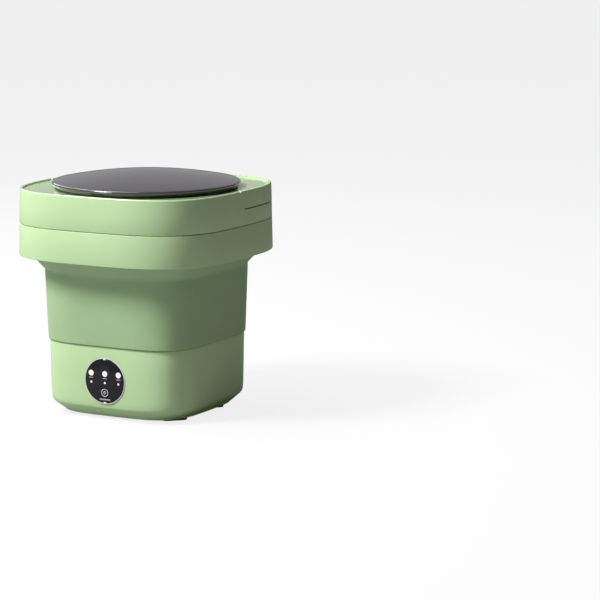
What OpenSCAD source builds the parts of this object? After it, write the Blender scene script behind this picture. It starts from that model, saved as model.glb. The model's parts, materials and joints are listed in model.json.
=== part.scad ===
// Folding portable mini washer: a square-round base with the motor, a soft folding sleeve,
// a wide head ring with a flush carry handle, and a round lift-off lid.
// Millimetres, +Z up, control panel on the -Y side, origin on the floor under the centre.
// The machine is drawn opened out; folding lowers the head ring by fold_travel.

/* [Head ring] */
// Half width of the head ring
head_half = 143; // [141:0.5:145]
// Squareness of the head ring's outline (2 is a circle)
head_square = 3.25; // [3:0.05:3.5]
// Height of the ring's lower edge
head_bottom_z = 203.4; // [202:0.2:205]
// Height of the joint line between the ring's two shells
seam_z = 244.5; // [242:0.5:247]
// Height of the rim
rim_z = 288.5; // [288:0.5:290]
// Width of the rim round the top
rim_w = 5; // [4.8:0.1:5.1]
// Wall thickness of the shells
shell_wall = 3; // [2.8:0.1:3.2]
// Radius of the loading opening
opening_r = 113; // [110:0.5:113]
// How far the head ring comes down when the machine is folded
fold_travel = 175.5; // [170:0.5:176]

/* [Base] */
// Half width of the base housing
base_half = 104.2; // [104:0.1:104.4]
// Squareness of the base's outline
base_square = 4.45; // [4.3:0.05:4.6]
// Height of the housing's upper edge
base_top_z = 94.5; // [94:0.5:95]
// Height of the underside of the bottom cover
cover_z = 3; // [3:0.5:3.5]
// Height of the tub's floor, on the inside
tub_floor_z = 62.5; // [62:0.5:63]

/* [Lid] */
// Radius of the lid
lid_r = 120.3; // [118:0.1:121]
// Height of the lid's edge
lid_edge_z = 293.5; // [293:0.5:295]
// Rise of the lid's dome above its edge
dome_rise = 12.5; // [8:0.5:14]

/* [Handle] */
// Distance of the handle's pivots behind the middle
pivot_y = 0.9; // [0:0.1:2]
// Height of the handle's pivots
pivot_z = 282.5; // [282:0.5:283]
// Thickness of the handle band
handle_t = 4.8; // [4.6:0.1:5]

/* [Panel] */
// Radius of the round control panel
panel_r = 28.5; // [27:0.5:28.5]
// Height of the panel's centre
panel_z = 51.2; // [48:0.5:54]

/* [Drive] */
// Distance of the motor from the middle
motor_x = -58; // [-60:1:-56]
// Groove radius of the big pulley
drive_groove_r = 30; // [28:1:31]
// Groove radius of the motor's pulley
motor_groove_r = 7.5; // [7:0.5:8]
// Radius of the impeller
impeller_r = 74; // [60:1:80]

/* [Hidden] */

outline_points = 72;
arc_points = 40;
$fn = 64;

leaf_green = [0.64, 0.77, 0.52];
sleeve_green = [0.53, 0.66, 0.46];
smoke = [0.27, 0.25, 0.28];
black = [0.09, 0.09, 0.1];
white = [0.93, 0.94, 0.95];
steel = [0.72, 0.73, 0.75];
rubber_grey = [0.16, 0.16, 0.17];
board_green = [0.08, 0.35, 0.2];

base_low_z = 6.6;
plateau_z = rim_z - 3.5;
plateau_t = 3;
liner_half = 122;
lip_half = 131;
sleeve_wall = 2.5;
sleeve_top_z = 215;
shoulder_z = 203;
collar_square = 3.35;
waist_z = 184.5;
mount_z = 23;
mount_t = 2.5;
shaft_r = 4;
bearing_r = 11;
belt_z = 14.3;
belt_h = 4.4;
drain_y = 72;
drain_z = 17;
spout_r = 8;
drain_r = 7.3;
drain_bore = 5.5;
led_z = 56;
inlet_x = -50;
inlet_z = 21;
button_z = panel_z - 14.9;
icon_x = 20;
cover_screw_xy = 57;
boss_y = 20;
boss_xs = [40, -76];
head_screw_half = 136.6;
head_screw_angles = [for (k = [0:7]) 22.5 + 45*k];
arm_r = 10.57;
arm_top = rim_z - pivot_z;
arm_bottom = pivot_z - 266;
arm_gap = 0.45;

// ---- outlines and lofts ----

function reach(t, n) = pow(pow(abs(cos(t)), n) + pow(abs(sin(t)), n), -1/n);

function outline(half, n) =
    [for (i = [0:outline_points - 1]) let (t = 360*i/outline_points)
        half*reach(t, n)*[cos(t), sin(t)]];

module slab(half, n, z0, z1) {
    translate([0, 0, z0]) linear_extrude(z1 - z0) polygon(outline(half, n));
}

module band(half_out, half_in, n, z0, z1) {
    difference() {
        slab(half_out, n, z0, z1);
        slab(half_in, n, z0 - 1, z1 + 1);
    }
}

// Rings are [half width, squareness, height], in order round the section
function ring_points(rings) =
    [for (ring = rings) for (p = outline(ring[0], ring[1])) [p.x, p.y, ring[2]]];

function ring_walls(first, last, count) =
    [for (k = [first:last]) for (i = [0:outline_points - 1])
        let (a = k*outline_points, b = ((k + 1) % count)*outline_points,
             j = (i + 1) % outline_points)
        [a + i, b + i, b + j, a + j]];

module loft_tube(rings) {
    count = len(rings);
    polyhedron(ring_points(rings), ring_walls(0, count - 1, count));
}

module loft_solid(rings) {
    count = len(rings);
    low_cap = [for (i = [0:outline_points - 1]) i];
    high_cap = [for (i = [outline_points - 1:-1:0]) (count - 1)*outline_points + i];
    polyhedron(ring_points(rings), concat([low_cap, high_cap], ring_walls(0, count - 2, count)));
}

module at_corners(d) {
    for (x = [-d, d], y = [-d, d]) translate([x, y, 0]) children();
}

module around_head() {
    for (t = head_screw_angles)
        translate(head_screw_half*reach(t, head_square)*[cos(t), sin(t), 0]) children();
}

module tube(r_out, r_in, z0, z1) {
    difference() {
        translate([0, 0, z0]) cylinder(r = r_out, h = z1 - z0);
        translate([0, 0, z0 - 1]) cylinder(r = r_in, h = z1 - z0 + 2);
    }
}

module rod(r, z0, z1) {
    translate([0, 0, z0]) cylinder(r = r, h = z1 - z0);
}

// A cylinder along +Y from y0 to y1
module rod_y(x, z, r, y0, y1) {
    translate([x, y0, z]) rotate([-90, 0, 0]) cylinder(r = r, h = y1 - y0);
}

// A pan-head screw pointing up, with the underside of its head at z
module screw_up(z, shank_r, length, head_r, head_h) {
    difference() {
        union() {
            rod(shank_r, z, z + length);
            rod(head_r, z - head_h, z);
        }
        translate([-head_r*0.6, -0.4, z - head_h - 1]) cube([head_r*1.2, 0.8, 1.6]);
        translate([-0.4, -head_r*0.6, z - head_h - 1]) cube([0.8, head_r*1.2, 1.6]);
    }
}

// ---- base ----

module base_housing() {
    post_reach = cover_screw_xy*sqrt(2) + 2.5;
    color(leaf_green) difference() {
        union() {
            loft_tube([
                [93.2, 4.1, base_low_z], [101.6, 4.3, 14.5], [102.8, 4.4, 17], [103.4, 4.45, 21],
                [base_half, base_square, base_top_z],
                [base_half - 2.8, base_square, base_top_z],
                [100.6, 4.45, 21], [98.6, 4.3, 16], [89.6, 4.1, base_low_z]]);
            at_corners(cover_screw_xy) rod(4, base_low_z, 45);
            for (t = [45, 135, 225, 315])
                rotate([0, 0, t]) translate([post_reach, -1.2, 24])
                    cube([124 - post_reach, 2.4, 21]);
        }
        at_corners(cover_screw_xy) rod(1.6, base_low_z - 1, 30);
        rod_y(0, panel_z, panel_r + 0.8, -base_half - 3, -base_half + 1.5);
        rod_y(0, panel_z, panel_r - 2.5, -base_half - 3, -base_half + 12);
        rod_y(0, drain_z, drain_r + 0.3, 80, base_half + 5);
        rod_y(inlet_x, inlet_z, 6, 85, base_half + 5);
    }
}

module bottom_cover() {
    color(leaf_green) difference() {
        loft_solid([[89.6, 4, cover_z], [91.4, 4.05, cover_z + 1], [91.6, 4.1, base_low_z - 0.3]]);
        slab(86, 3.95, cover_z + 2.4, base_low_z + 1);
        at_corners(cover_screw_xy) {
            rod(1.8, 2, base_low_z + 1);
            rod(3.6, 2, cover_z + 1.6);
        }
    }
}

module rubber_feet() {
    front = [[66, -63], [79, -50]];
    back = [[68, 52], [81, 39]];
    color(rubber_grey) for (side = [-1, 1], foot = [front, back]) hull()
        for (end = foot)
            translate([side*end.x, end.y, 0]) cylinder(r = 7, h = cover_z, $fn = 32);
}

module cover_screws() {
    color(steel) at_corners(cover_screw_xy) screw_up(cover_z + 1.6, 1.5, 20, 3.3, 1.4);
}

module wash_tub() {
    floor_t = 2.5;
    color(white) difference() {
        union() {
            slab(100.2, base_square, tub_floor_z - floor_t, tub_floor_z);
            band(100.2, 97.7, base_square, tub_floor_z - floor_t, base_top_z);
            band(103.8, 97.7, base_square, base_top_z, base_top_z + 3);
            for (x = boss_xs, y = [-boss_y, boss_y])
                translate([x, y, 0]) rod(4, mount_z + mount_t, tub_floor_z - 1);
        }
        rod(9, 50, 70);
        translate([0, drain_y, 0]) rod(drain_bore, 50, 70);
        for (x = boss_xs, y = [-boss_y, boss_y]) translate([x, y, 0]) rod(1.6, 20, 40);
    }
}

module lower_clamp_ring() {
    color(black) band(base_half, 99, base_square, base_top_z + 3, base_top_z + 7.5);
}

module folding_sleeve() {
    low = base_top_z + 0.7;
    color(sleeve_green) loft_tube([
        [106.7, 4.4, low], [107.3, 4.4, low + 0.9],
        [109.8, 4.25, waist_z - 4], [110.6, 4.2, waist_z], [112, 4.15, waist_z + 1.9],
        [128, 3.4, shoulder_z - 1.4], [129, collar_square, shoulder_z],
        [129, collar_square, sleeve_top_z], [129 - sleeve_wall, collar_square, sleeve_top_z],
        [129 - sleeve_wall, collar_square, shoulder_z + 0.8],
        [112.4 - sleeve_wall, 4.15, waist_z + 4.6], [110 - sleeve_wall, 4.2, waist_z + 1.6],
        [109.6 - sleeve_wall, 4.25, waist_z - 4], [104.7, 4.4, low + 0.9], [104.7, 4.4, low]]);
}

// ---- drive ----

module motor_mount() {
    color(steel) difference() {
        translate([-82, -26, mount_z]) cube([129, 52, mount_t]);
        translate([motor_x, 0, 0]) rod(6.2, 20, 30);
        rod(shaft_r + 2, 20, 30);
        for (x = boss_xs, y = [-boss_y, boss_y]) translate([x, y, 0]) rod(1.8, 20, 30);
        for (y = [-9, 9]) translate([motor_x, y, 0]) rod(1.6, 20, 30);
    }
}

module mount_screws() {
    color(steel) for (x = boss_xs, y = [-boss_y, boss_y])
        translate([x, y, 0]) screw_up(mount_z, 1.5, 12, 2.8, 1.4);
}

module motor_can() {
    color(steel) translate([motor_x, 0, 0]) difference() {
        union() {
            rod(19, mount_z + mount_t, 55);
            rod(6, mount_z, 30);
            rod(7, 54, 57.5);
        }
        rod(1.66, 20, 42);
        for (y = [-9, 9]) translate([0, y, 0]) rod(1.55, 20, 31);
    }
}

module motor_screws() {
    color(steel) for (y = [-9, 9])
        translate([motor_x, y, 0]) screw_up(mount_z, 1.5, 7, 2.3, 1.2);
}

module shaft_housing() {
    low = mount_z + mount_t;
    high = tub_floor_z - 2.5;
    color(black) difference() {
        union() {
            rod(14, low, high);
            rod(20, high - 3, high);
        }
        rod(bearing_r + 0.02, low - 1, low + 8.5);
        rod(8.5, low, high);
        rod(bearing_r + 0.02, high - 10, high + 1);
    }
}

module shaft_bearings() {
    low = mount_z + mount_t;
    high = tub_floor_z - 2.5;
    color(steel) for (z = [low + 1.4, high - 9.9]) tube(bearing_r, shaft_r + 0.05, z, z + 7);
}

module shaft_seal() {
    color(rubber_grey) {
        tube(8.95, shaft_r + 0.06, tub_floor_z - 5, tub_floor_z + 1);
    }
}

// A belt run round two pulleys on the X axis: big one at the origin, small one at x = d
function belt_path(big, small, d) =
    let (lean = acos((big - small)/abs(d)), s = sign(d))
    concat([for (i = [0:arc_points]) let (t = lean + (360 - 2*lean)*i/arc_points)
               [s*big*cos(t), big*sin(t)]],
           [for (i = [0:arc_points]) let (t = -lean + 2*lean*i/arc_points)
               [d + s*small*cos(t), small*sin(t)]]);

module drive_belt() {
    gap = 0.15;
    belt_t = 1.7;
    color(black) translate([0, 0, belt_z]) linear_extrude(belt_h) difference() {
        polygon(belt_path(drive_groove_r + gap + belt_t, motor_groove_r + gap + belt_t, motor_x));
        polygon(belt_path(drive_groove_r + gap, motor_groove_r + gap, motor_x));
    }
}

module grooved_pulley(groove_r, bore_r) {
    flange = 2;
    difference() {
        union() {
            rod(groove_r + flange, 12.5, belt_z - 0.3);
            rod(groove_r, 12.5, 20.5);
            rod(groove_r + flange, belt_z + belt_h + 0.3, 20.5);
        }
        rod(bore_r, 10, 25);
    }
}

module drive_pulley() {
    color(white) difference() {
        grooved_pulley(drive_groove_r, shaft_r + 0.02);
        for (t = [0:60:300]) rotate([0, 0, t]) translate([18, 0, 0]) rod(6.5, 10, 25);
    }
}

module motor_pulley() {
    color(steel) translate([motor_x, 0, 0]) grooved_pulley(motor_groove_r, 1.62);
}

module motor_shaft() {
    color(steel) translate([motor_x, 0, 0]) rod(1.6, 11.5, 41);
}

module impeller_shaft() {
    color(steel) rod(shaft_r, 11, 73);
}

module impeller() {
    disc_z = 65.5;
    color(white) difference() {
        union() {
            rod(impeller_r, disc_z, disc_z + 3.5);
            rod(14, disc_z - 1.5, 80);
            intersection() {
                for (t = [0, 60, 120])
                    rotate([0, 0, t]) translate([-70, 0, disc_z]) rotate([0, 90, 0])
                        cylinder(r = 9, h = 140);
                rod(impeller_r - 3, disc_z + 1, 85);
            }
        }
        rod(shaft_r + 0.02, 60, 73.2);
        for (t = [0:15:345]) rotate([0, 0, t + 7.5]) translate([62, 0, 0]) rod(2.2, 60, 72);
    }
}

module impeller_cap() {
    cap_r = 11;
    color(steel) rotate_extrude() polygon(concat([[0, 80], [cap_r, 80]],
        [for (i = [0:10]) let (t = 9*i) [cap_r*cos(t), 81 + 3*sin(t)]]));
}

// ---- outlets and electrics ----

module drain_elbow() {
    spout_start = base_half + 0.2;
    spout_end = 114;
    color(black) difference() {
        union() {
            translate([0, drain_y, 0]) {
                rod(drain_r, drain_z, tub_floor_z - 2.5);
                rod(drain_r + 4, tub_floor_z - 5, tub_floor_z - 2.5);
                translate([0, 0, drain_z]) sphere(r = drain_r);
            }
            rod_y(0, drain_z, drain_r, drain_y, spout_start + 1);
            rod_y(0, drain_z, spout_r, spout_start, spout_end);
        }
        translate([0, drain_y, 0]) rod(drain_bore, drain_z, 70);
        rod_y(0, drain_z, drain_bore, drain_y, spout_end + 2);
    }
}

module drain_plug() {
    color(rubber_grey) union() {
        rod_y(0, drain_z, drain_bore - 0.08, 104, 114.4);
        rod_y(0, drain_z, 7.4, 114.3, 117);
        translate([-1.5, 117, drain_z - 5]) cube([3, 4, 10]);
    }
}

module dc_inlet() {
    face_y = 102.4;
    color(black) union() {
        difference() {
            union() {
                rod_y(inlet_x, inlet_z, 5.9, 88, face_y);
                rod_y(inlet_x, inlet_z, 8, 90, 94);
            }
            rod_y(inlet_x, inlet_z, 3, 92, face_y + 2);
        }
        rod_y(inlet_x, inlet_z, 1, 91, face_y - 2);
    }
}

module control_board() {
    board_y = -92;
    back_y = board_y + 1.5;
    low = panel_z - 24;
    color(board_green) union() {
        translate([-29, board_y, low]) cube([58, 1.6, 31.5]);
        translate([-3, board_y - 3, button_z - 3]) cube([6, 3.2, 6]);
        rod_y(0, button_z, 1.5, board_y - 3.9, board_y);
        for (x = [-icon_x, 0, icon_x]) rod_y(x, led_z, 1.5, board_y - 4.9, board_y + 0.1);
        translate([-22, back_y, low + 4]) cube([14, 6, 10]);
        rod_y(14, low + 12, 5, back_y, board_y + 13);
        for (z = [18, 26]) translate([-25, back_y, low + z]) cube([50, 1.6, 3]);
    }
}

module panel_bezel() {
    color(white) difference() {
        rod_y(0, panel_z, panel_r + 0.75, -base_half - 0.8, -base_half + 1.45);
        rod_y(0, panel_z, panel_r + 0.1, -base_half - 2, -base_half + 3);
    }
}

module panel_fascia() {
    color(black) difference() {
        rod_y(0, panel_z, panel_r, -base_half - 0.6, -base_half + 1.45);
        rod_y(0, button_z, 5.9, -base_half - 2, -base_half + 3);
        for (x = [-icon_x, 0, icon_x]) {
            rod_y(x, panel_z + 9, 4.05, -base_half - 2, -base_half + 3);
            rod_y(x, panel_z - 2.5, 1.75, -base_half - 2, -base_half + 3);
        }
    }
}

module indicator_lenses() {
    color(white) for (x = [-icon_x, 0, icon_x]) {
        union() {
            rod_y(x, panel_z + 9, 4, -base_half - 0.7, -base_half + 2.4);
            translate([x - 1.5, -base_half + 2.3, led_z - 1.5]) cube([3, 1.4, 7]);
            translate([x - 1.5, -base_half + 2.3, led_z - 1.5]) cube([3, 4.9, 3]);
        }
        rod_y(x, panel_z - 2.5, 1.7, -base_half - 0.7, -base_half + 2.4);
    }
}

module power_button() {
    color(black) union() {
        rod_y(0, button_z, 5.5, -base_half - 1.2, -base_half + 1.8);
        rod_y(0, button_z, 7.4, -base_half + 1.7, -base_half + 2.7);
        rod_y(0, button_z, 2.4, -base_half + 2.6, -97);
    }
}

function tangent(path, i) =
    let (a = path[max(i - 1, 0)], b = path[min(i + 1, len(path) - 1)]) (b - a)/norm(b - a);

module wire(path, r) {
    sides = 8;
    points = [for (i = [0:len(path) - 1])
        let (t = tangent(path, i), across = cross(t, [0.31, 0.17, 0.94]),
             u = across/norm(across), v = cross(t, u))
        for (k = [0:sides - 1]) path[i] + r*(cos(360*k/sides)*u + sin(360*k/sides)*v)];
    walls = [for (i = [0:len(path) - 2]) for (k = [0:sides - 1])
        let (a = i*sides, b = (i + 1)*sides, j = (k + 1) % sides)
        [a + k, b + k, b + j, a + j]];
    first = [for (k = [0:sides - 1]) k];
    last = [for (k = [sides - 1:-1:0]) (len(path) - 1)*sides + k];
    polyhedron(points, concat([first, last], walls));
}

module wire_harness() {
    terminal_y = -84.45;
    supply = [[inlet_x, 87.9, inlet_z], [inlet_x, 84, inlet_z], [-54, 78, 20.5], [-66, 66, 20],
        [-88, 52, 20], [-92, 20, 22], [-92, -20, 22], [-88, -58, 20], [-66, -76, 20],
        [-40, -80, 28], [-22, -77, 35], [-18, -79, 36], [-18, terminal_y, 36]];
    motor_lead = [[motor_x - 12, -10, 56.8], [-84, -8, 56], [-90, -24, 52], [-90, -42, 49],
        [-84, -62, 48.5], [-66, -76, 48], [-44, -80, 46], [-22, -77, 40], [-13, -78, 36.5],
        [-13, terminal_y, 36]];
    color("firebrick") {
        wire(supply, 1.5);
        wire(motor_lead, 1.3);
    }
}

// ---- head ring ----

module head_lower_shell() {
    tongue_half = head_half - 3.4;
    color(leaf_green) difference() {
        union() {
            band(head_half + 0.7, head_half + 0.7 - shell_wall, head_square,
                 head_bottom_z, seam_z - 0.35);
            band(head_half + 0.5, lip_half, head_square, head_bottom_z, head_bottom_z + 2.6);
            band(head_half - 2, tongue_half - 1.6, head_square, seam_z - 6, seam_z - 0.35);
            band(tongue_half, tongue_half - 1.6, head_square, seam_z - 1, seam_z + 2.5);
            intersection() {
                around_head() rod(4.2, head_bottom_z + 1, seam_z + 5);
                slab(tongue_half, head_square, head_bottom_z, seam_z + 6);
            }
        }
        around_head() {
            rod(3.1, head_bottom_z - 1, seam_z - 1);
            rod(1.65, head_bottom_z, seam_z + 8);
        }
    }
}

module arm_profile(gap) {
    intersection() {
        translate([-30, -arm_bottom - gap]) square([230, arm_bottom + arm_top + 2*gap + 1]);
        union() {
            circle(r = arm_r + gap);
            translate([4, -7.5]) circle(r = arm_bottom - 7.5 + gap);
            translate([4, -arm_bottom - gap]) square([200, arm_bottom + arm_top + 2]);
            translate([-sqrt(pow(arm_r + gap, 2) - pow(arm_top, 2)), arm_top - 0.2])
                square([200, 4]);
        }
    }
}

// The handle's side profile, drawn right through the ring along X
module arm_block(gap) {
    translate([-170, pivot_y, pivot_z]) rotate([90, 0, 90]) linear_extrude(340) arm_profile(gap);
}

module rod_x(x0, x1, r) {
    translate([x0, pivot_y, pivot_z]) rotate([0, 90, 0]) cylinder(r = r, h = x1 - x0);
}

module head_upper_shell() {
    recess_half = head_half - handle_t - 0.6;
    color(leaf_green) difference() {
        union() {
            difference() {
                slab(head_half, head_square, seam_z + 0.35, plateau_z);
                slab(head_half - 3.2, head_square, seam_z - 1, 262);
                slab(head_half - 8.4, head_square, 261, plateau_z - plateau_t);
            }
            band(head_half, head_half - rim_w, head_square, plateau_z - 1, rim_z);
            intersection() {
                around_head() rod(4, seam_z + 5.1, plateau_z - 1);
                slab(head_half - 1, head_square, seam_z, plateau_z);
            }
        }
        rod(opening_r, 270, 300);
        around_head() rod(1.55, seam_z, seam_z + 16);
        intersection() {
            band(head_half + 8, recess_half, head_square, 250, 300);
            arm_block(arm_gap);
        }
        rod_x(-recess_half - 1, -recess_half + 6, 2.02);
        rod_x(recess_half - 6, recess_half + 1, 2.02);
    }
}

module head_liner() {
    top = plateau_z - plateau_t;
    color(white) union() {
        band(liner_half + 2.5, liner_half, head_square, 214, top);
        difference() {
            slab(liner_half + 2, head_square, top - 2.5, top);
            rod(opening_r + 0.5, 270, 300);
        }
    }
}

module upper_clamp_ring() {
    color(black) band(lip_half + 1, 129.3, collar_square, head_bottom_z + 2.9, 214);
}

module head_screws() {
    color(steel) around_head() screw_up(seam_z - 1, 1.5, 14, 2.9, 1.8);
}

module handle_pins() {
    color(steel) for (s = [0, 180]) translate([0, pivot_y, pivot_z]) rotate([0, 0, s])
        rotate([0, 90, 0]) rod(2, 134, head_half - 1.7);
}

module carry_handle() {
    color(leaf_green) difference() {
        intersection() {
            band(head_half, head_half - handle_t, head_square, 260, rim_z);
            arm_block(0);
        }
        rod_x(-head_half + 1.5, -head_half + handle_t + 4, 2.06);
        rod_x(head_half - handle_t - 4, head_half - 1.5, 2.06);
    }
}

// ---- lid ----

function dome_z(r) = lid_edge_z + dome_rise*(1 - pow(r/lid_r, 2));

module lid_dome() {
    glaze = 2.4;
    edge = 2;
    color(smoke) rotate_extrude($fn = 96) polygon(concat(
        [for (i = [0:16]) let (r = (lid_r - edge)*i/16) [r, dome_z(r)]],
        [for (t = [80:-20:-80]) [lid_r - edge + edge*cos(t), lid_edge_z - 1.2 + edge*sin(t)]],
        [for (i = [16:-1:0]) let (r = (lid_r - edge)*i/16) [r, dome_z(r) - glaze - edge*0.35]]));
}

module lid_skirt() {
    color(black) rotate_extrude($fn = 96) polygon([
        [117.2, lid_edge_z - 3.3], [115.4, plateau_z + 1.6], [112.3, plateau_z + 1.6],
        [112.3, plateau_z - 3.5], [109.8, plateau_z - 3.5], [109.8, lid_edge_z - 3.3]]);
    color(black) translate([-9, -118.6, plateau_z + 2.2]) cube([18, 4.4, 2.9]);
}

module lid_seal() {
    color(rubber_grey) tube(116, 112.4, plateau_z + 0.1, plateau_z + 1.6);
}

base_housing();
bottom_cover();
rubber_feet();
cover_screws();
wash_tub();
lower_clamp_ring();
folding_sleeve();
motor_mount();
mount_screws();
motor_can();
motor_screws();
shaft_housing();
shaft_bearings();
shaft_seal();
drive_belt();
drain_elbow();
dc_inlet();
control_board();
panel_bezel();
panel_fascia();
indicator_lenses();
wire_harness();
head_lower_shell();
head_upper_shell();
head_liner();
upper_clamp_ring();
head_screws();
handle_pins();
carry_handle();
lid_dome();
lid_skirt();
lid_seal();
impeller();
impeller_shaft();
impeller_cap();
drive_pulley();
motor_shaft();
motor_pulley();
power_button();
drain_plug();
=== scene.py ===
# The folding mini washer's looks: smooth shells, the soft sleeve, the smoked lid, the control panel
# and every finish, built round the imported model.
import json
from math import cos, hypot, pi, radians, sin

import bpy
from bpy.props import FloatProperty, FloatVectorProperty, IntProperty, PointerProperty
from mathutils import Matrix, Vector


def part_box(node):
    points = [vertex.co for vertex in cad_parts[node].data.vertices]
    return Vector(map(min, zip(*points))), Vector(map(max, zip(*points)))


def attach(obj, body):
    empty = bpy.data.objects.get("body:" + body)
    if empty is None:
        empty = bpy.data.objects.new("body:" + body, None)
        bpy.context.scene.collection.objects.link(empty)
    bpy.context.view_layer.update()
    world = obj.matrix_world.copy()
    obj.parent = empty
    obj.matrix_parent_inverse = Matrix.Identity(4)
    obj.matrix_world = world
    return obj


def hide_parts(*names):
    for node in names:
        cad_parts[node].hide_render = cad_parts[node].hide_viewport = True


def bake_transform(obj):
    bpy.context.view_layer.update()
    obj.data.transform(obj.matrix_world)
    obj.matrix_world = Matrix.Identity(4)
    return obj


bl_info = {
    "name": "Folding mini washer",
    "version": (1, 0, 0),
    "blender": (4, 5, 0),
    "location": "View3D > Sidebar > Washer",
    "description": "Models a folding mini washer's shells, sleeve, lid, panel and finishes",
    "category": "Object",
}

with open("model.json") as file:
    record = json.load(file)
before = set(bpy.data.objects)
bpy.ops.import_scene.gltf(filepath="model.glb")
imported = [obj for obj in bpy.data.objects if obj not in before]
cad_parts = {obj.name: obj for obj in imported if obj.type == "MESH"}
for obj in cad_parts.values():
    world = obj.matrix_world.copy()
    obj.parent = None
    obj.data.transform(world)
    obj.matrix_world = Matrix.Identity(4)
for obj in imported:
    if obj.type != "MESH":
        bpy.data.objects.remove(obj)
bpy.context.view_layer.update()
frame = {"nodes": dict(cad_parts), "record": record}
MM = 0.001
RING_SCREWS = 8

# Places and sizes in millimetres
RIM_ROUND = 1.9
OPENING_R = 113
FOOT_R = 7
FEET = ((Vector((66, -63)), Vector((79, -50))), (Vector((68, 52)), Vector((81, 39))))
SPOUT_R = 8
INLET_HOLE_R = 6.1
COVER_SCREW_HEAD_R = 3.3
RING_SCREW_HALF = 136.6
ARM_R = 10.57
ARM_SPAN = 170
GROOVE_Y = 56
DOME_RISE = 12.5
LENS_R = 4
ICON_Z = 9
LABEL_Z = 3.2
DOT_Z = -2.5
LOWER_BAR_Z = -23.6


def low(node):
    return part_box(node)[0]


def high(node):
    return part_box(node)[1]


def middle(node):
    return (low(node) + high(node)) / 2


def length_property(text, default):
    return FloatProperty(name=text, description=f"{text}, in metres", default=default,
                         unit="LENGTH", precision=4)


def colour_property(text, default):
    return FloatVectorProperty(name=text, description=f"Colour of the {text.lower()}",
                               default=default, subtype="COLOR", size=3, min=0, max=1)


class WasherSizes(bpy.types.PropertyGroup):
    """Sizes that the pieces are built from."""

    sides: IntProperty(name="Sides", description="Points round each big shell",
                       default=240, min=96, max=320)
    head_half: length_property("Head ring half width", high("head_upper_shell").x)
    head_flare: length_property("Head ring flare", 0.0008)
    head_square: FloatProperty(name="Head squareness", default=3.25, min=2, max=6,
                               description="Outline power of the head ring; 2 is a circle")
    base_half: length_property("Base half width", high("base_housing").x)
    base_square: FloatProperty(name="Base squareness", default=4.45, min=2, max=6,
                               description="Outline power of the base; 2 is a circle")
    rim_z: length_property("Rim height", high("head_upper_shell").z)
    seam_z: length_property("Seam height", low("head_upper_shell").z - 0.35 * MM)
    edge: length_property("Edge rounding", 0.0006)
    lid_r: length_property("Lid radius", high("lid_dome").x)
    panel_r: length_property("Panel radius", high("panel_fascia").x)
    handle_t: length_property("Handle thickness", 0.0048)
    rim_width: length_property("Rim width", 0.005)


class WasherColours(bpy.types.PropertyGroup):
    """Colours of the finishes."""

    leaf: colour_property("Green shells", (0.485, 0.668, 0.366))
    sleeve: colour_property("Soft sleeve", (0.345, 0.496, 0.266))
    smoke: colour_property("Smoked lid", (0.042, 0.037, 0.048))
    ink: colour_property("Black panel", (0.0095, 0.0085, 0.0125))
    white: colour_property("Panel marks", (0.86, 0.87, 0.9))
    tub: colour_property("Tub plastic", (0.72, 0.75, 0.72))
    rubber: colour_property("Dark rubber", (0.035, 0.035, 0.037))
    steel: colour_property("Steel", (0.6, 0.61, 0.63))
    board: colour_property("Circuit board", (0.02, 0.13, 0.05))
    label: colour_property("Printed labels", (0.42, 0.41, 0.47))
    floor: colour_property("Floor", (0.4, 0.4, 0.4))


# ---- finishes ----


def new_finish(name, colour, roughness, **sockets):
    """A Principled material; returns it with its node tree and its shader."""
    finish = bpy.data.materials.new(name)
    finish.use_nodes = True
    tree = finish.node_tree
    shader = tree.nodes["Principled BSDF"]
    shader.inputs["Base Color"].default_value = (*colour, 1)
    shader.inputs["Roughness"].default_value = roughness
    for socket, value in sockets.items():
        shader.inputs[socket.replace("_", " ")].default_value = value
    return finish, tree, shader


def place_pattern(tree, kind, scale, **settings):
    """A texture node on Object coordinates."""
    where = tree.nodes.new("ShaderNodeTexCoord")
    pattern = tree.nodes.new(kind)
    pattern.inputs["Scale"].default_value = scale
    for socket, value in settings.items():
        pattern.inputs[socket.replace("_", " ")].default_value = value
    tree.links.new(where.outputs["Object"], pattern.inputs["Vector"])
    return pattern


def spread(tree, source, low_value, high_value, start=0.0, stop=1.0):
    """A Map Range node from source to low_value..high_value."""
    ranged = tree.nodes.new("ShaderNodeMapRange")
    for socket, value in zip(("From Min", "From Max", "To Min", "To Max"),
                             (start, stop, low_value, high_value)):
        ranged.inputs[socket].default_value = value
    tree.links.new(source, ranged.inputs["Value"])
    return ranged.outputs["Result"]


def tint(tree, shader, factor, darker, lighter):
    """Base colour between two shades, by factor."""
    mix = tree.nodes.new("ShaderNodeMix")
    mix.data_type = "RGBA"
    mix.inputs["A"].default_value = (*darker, 1)
    mix.inputs["B"].default_value = (*lighter, 1)
    tree.links.new(factor, mix.inputs["Factor"])
    tree.links.new(mix.outputs["Result"], shader.inputs["Base Color"])


def roughen(tree, shader, height, strength, distance):
    """A bump from a height pattern."""
    bump = tree.nodes.new("ShaderNodeBump")
    bump.inputs["Strength"].default_value = strength
    bump.inputs["Distance"].default_value = distance
    tree.links.new(height, bump.inputs["Height"])
    tree.links.new(bump.outputs["Normal"], shader.inputs["Normal"])


def shade(colour, amount):
    return tuple(min(1, c * amount) for c in colour)


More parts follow.
